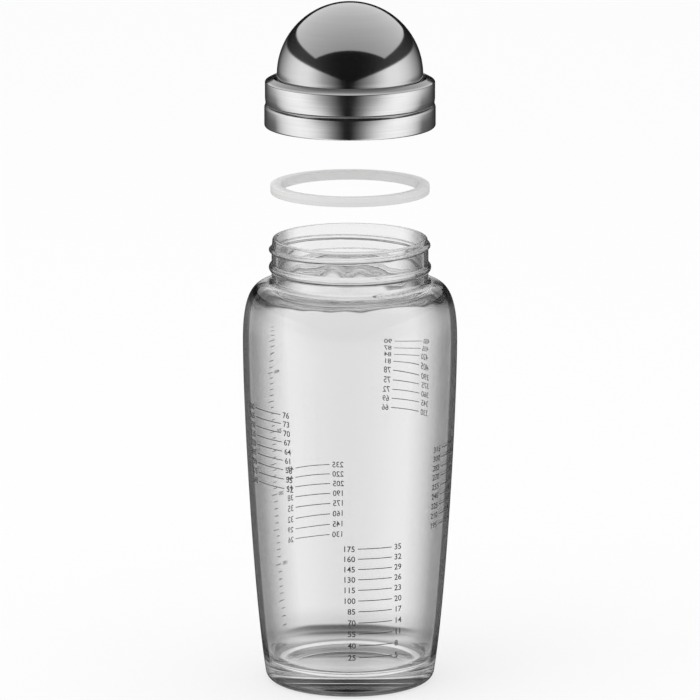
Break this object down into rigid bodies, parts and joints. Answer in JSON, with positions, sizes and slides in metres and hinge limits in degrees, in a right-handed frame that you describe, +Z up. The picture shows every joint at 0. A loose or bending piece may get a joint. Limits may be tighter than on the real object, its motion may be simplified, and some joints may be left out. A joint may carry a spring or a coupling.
{
  "type": "shaker bottle",
  "caption": "Glass shaker bottle for dressings with a loose sealing ring and a domed steel screw cap, shown with ring and cap lifted off in line.",
  "frame": {"origin": "centre of the face that the bottle stands on", "axes": "+Z up along the bottle's axis, through the ring and the cap; -Y is the side that the picture shows"},
  "size_m": [0.08, 0.08, 0.2575],
  "materials": {
    "clear_glass": "clear fire-polished",
    "white_silicone": "matt",
    "inner_steel": "mill finish",
    "liner_plastic": "fine satin",
    "brushed_steel": "turned satin",
    "polished_steel": "mirror polished",
    "scale_ink": "fired print"
  },
  "bodies": {
    "bottle": {"glass_bottle": "clear_glass"},
    "ring": {"sealing_ring": "white_silicone"},
    "disc": {"closing_disc": "inner_steel"},
    "cap": {"threaded_liner": "liner_plastic", "cap_skirt": "brushed_steel", "cap_collar": "brushed_steel", "cap_dome": "polished_steel"}
  },
  "joints": [
    {"name": "ring_lift", "type": "slide", "parent": "bottle", "child": "ring", "axis": [0, 0, 1], "range_m": [-0.01695, 0]},
    {"name": "cap_lift", "type": "slide", "parent": "ring", "child": "disc", "axis": [0, 0, 1], "range_m": [-0.03635, 0]},
    {"name": "cap_turn", "type": "hinge", "parent": "disc", "child": "cap", "pos_m": [0, 0, 0.2275], "axis": [0, 0, 1], "range_deg": [0, 330]}
  ]
}
